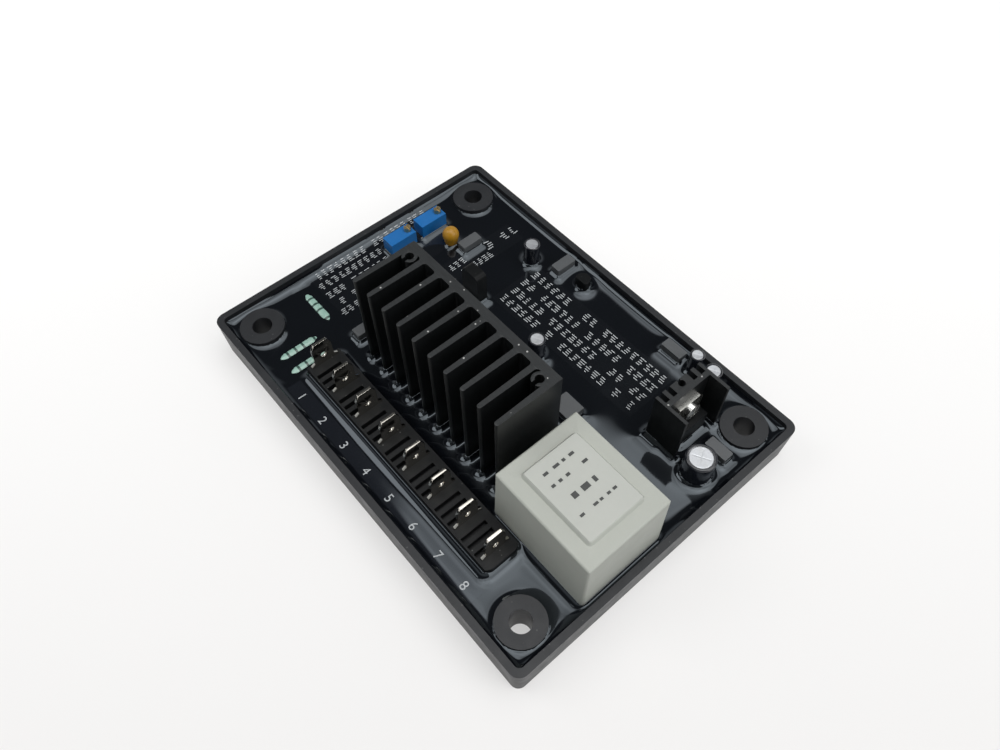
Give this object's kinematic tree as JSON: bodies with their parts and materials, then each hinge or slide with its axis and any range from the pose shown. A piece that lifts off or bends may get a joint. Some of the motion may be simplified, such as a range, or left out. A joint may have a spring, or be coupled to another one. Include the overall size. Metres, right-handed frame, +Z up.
{
  "type": "automatic voltage regulator",
  "caption": "Potted generator voltage regulator: open black tray with corner bosses, upright finned heat sink, grey transformer, spade terminals and small trimmers.",
  "frame": {"origin": "centre of the tray's bottom face", "axes": "+Z up, +X along the row of terminals, +Y from the terminals towards the rear edge"},
  "size_m": [0.1344, 0.1, 0.044],
  "materials": {
    "tray_plastic": "fine textured black moulding",
    "board_laminate": "black solder mask with pale printed marks",
    "potting_resin": "clear dark glossy resin",
    "legend_film": "dark strip with pale numerals",
    "black_anodised": "black anodised extrusion with sawn ends",
    "screw_steel": "bright plated steel",
    "device_plastic": "black moulded epoxy",
    "transformer_plastic": "warm light grey moulding",
    "strip_plastic": "black moulding",
    "tinned_brass": "tinned brass, bright sheared edges",
    "trimmer_plastic": "blue moulding",
    "adjuster_brass": "turned brass",
    "drop_epoxy": "dipped amber epoxy",
    "film_box": "grey moulded box",
    "can_aluminium": "bright drawn aluminium",
    "sleeve_plastic": "black shrunk sleeve",
    "transistor_metal": "nickel plated tab",
    "resistor_coat": "pale green coating with dark bands"
  },
  "bodies": {
    "housing": {"tray": "tray_plastic", "circuit_board": "board_laminate", "potting_resin": "potting_resin", "legend_strip": "legend_film", "heat_sink": "black_anodised", "heat_sink_screws": "screw_steel", "power_device": "device_plastic", "power_device_screw": "screw_steel", "transformer": "transformer_plastic", "terminal_strip": "strip_plastic", "spade_terminal_1": "tinned_brass", "spade_terminal_2": "tinned_brass", "spade_terminal_3": "tinned_brass", "spade_terminal_4": "tinned_brass", "spade_terminal_5": "tinned_brass", "spade_terminal_6": "tinned_brass", "spade_terminal_7": "tinned_brass", "spade_terminal_8": "tinned_brass", "trimmer_body_1": "trimmer_plastic", "trimmer_body_2": "trimmer_plastic", "drop_capacitor": "drop_epoxy", "film_capacitor_1": "film_box", "film_capacitor_2": "film_box", "film_capacitor_3": "film_box", "film_capacitor_4": "film_box", "film_capacitor_5": "film_box", "film_capacitor_6": "film_box", "capacitor_can_1": "can_aluminium", "capacitor_can_2": "can_aluminium", "capacitor_can_3": "can_aluminium", "capacitor_can_4": "can_aluminium", "capacitor_can_5": "can_aluminium", "capacitor_sleeve_1": "sleeve_plastic", "capacitor_sleeve_2": "sleeve_plastic", "capacitor_sleeve_3": "sleeve_plastic", "capacitor_sleeve_4": "sleeve_plastic", "capacitor_sleeve_5": "sleeve_plastic", "small_heat_sink": "black_anodised", "transistor_tab": "transistor_metal", "transistor_case": "device_plastic", "transistor_screw": "screw_steel", "resistor_1": "resistor_coat", "resistor_2": "resistor_coat", "resistor_3": "resistor_coat", "standing_device": "device_plastic", "signal_transistor": "device_plastic"},
    "rear_adjuster": {"trimmer_screw_1": "adjuster_brass"},
    "front_adjuster": {"trimmer_screw_2": "adjuster_brass"}
  },
  "joints": [
    {"name": "rear_adjuster_turn", "type": "hinge", "parent": "housing", "child": "rear_adjuster", "pos_m": [-0.05615, 0.02485, 0.0155], "axis": [0, 0, 1], "continuous": true},
    {"name": "front_adjuster_turn", "type": "hinge", "parent": "housing", "child": "front_adjuster", "pos_m": [-0.05615, 0.01305, 0.0155], "axis": [0, 0, 1], "continuous": true}
  ]
}
